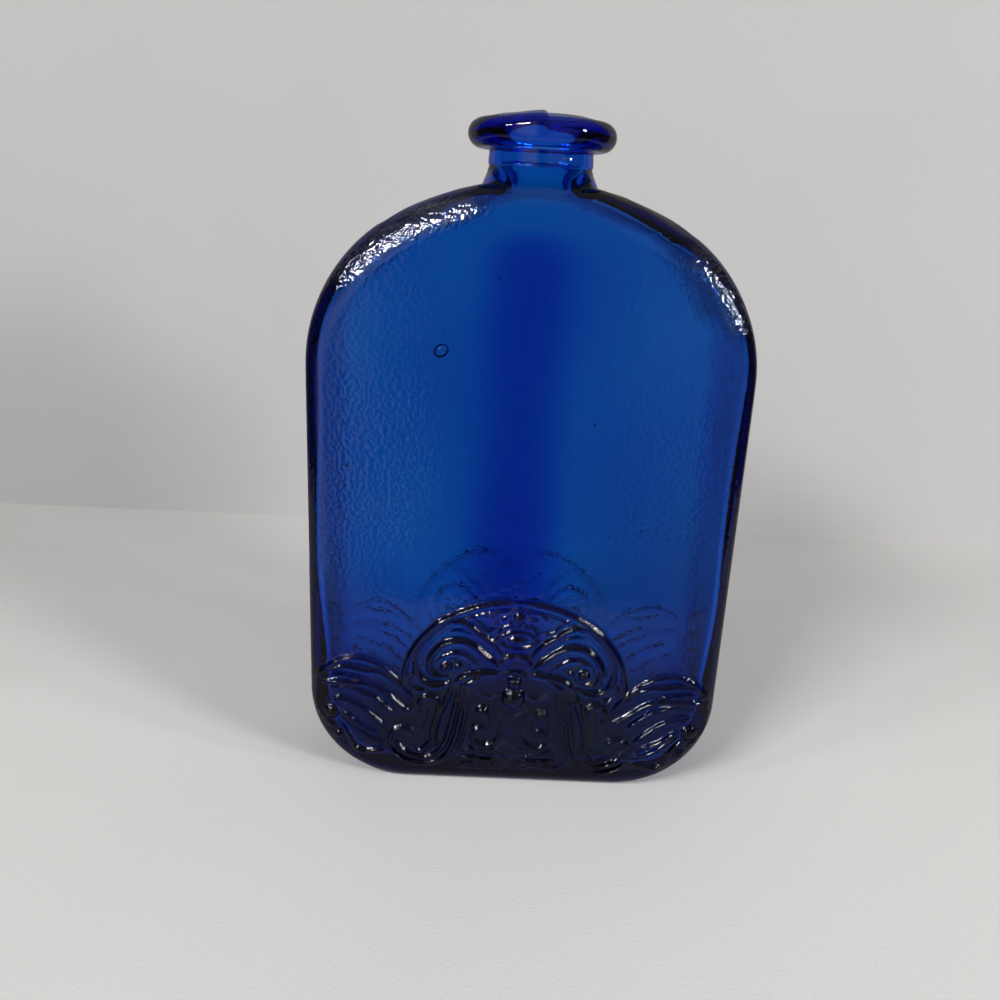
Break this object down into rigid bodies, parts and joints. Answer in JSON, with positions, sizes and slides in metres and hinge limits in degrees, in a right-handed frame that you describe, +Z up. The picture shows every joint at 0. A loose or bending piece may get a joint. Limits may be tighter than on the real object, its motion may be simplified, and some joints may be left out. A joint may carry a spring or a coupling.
{
  "type": "glass flask bottle",
  "caption": "Flat blue glass flask with arched shoulders, a short neck with a thick applied lip, and moulded scroll relief at the foot of both panels.",
  "frame": {"origin": "centre of the foot, on the surface that the flask stands on", "axes": "+Z up through the mouth, +X along the wide side, -Y out of the front panel"},
  "size_m": [0.15, 0.0576, 0.237],
  "materials": {
    "cobalt_glass": "polished clear cobalt-blue glass"
  },
  "bodies": {
    "root": {"foot": "cobalt_glass", "walls": "cobalt_glass", "shoulders": "cobalt_glass", "neck": "cobalt_glass", "lip_ring": "cobalt_glass", "front_arch": "cobalt_glass", "front_volutes": "cobalt_glass", "front_crest": "cobalt_glass", "front_knot": "cobalt_glass", "front_ribbons": "cobalt_glass", "front_lower_scrolls": "cobalt_glass", "front_plumes": "cobalt_glass", "back_arch": "cobalt_glass", "back_volutes": "cobalt_glass", "back_crest": "cobalt_glass", "back_knot": "cobalt_glass", "back_ribbons": "cobalt_glass", "back_lower_scrolls": "cobalt_glass", "back_plumes": "cobalt_glass"}
  },
  "joints": []
}
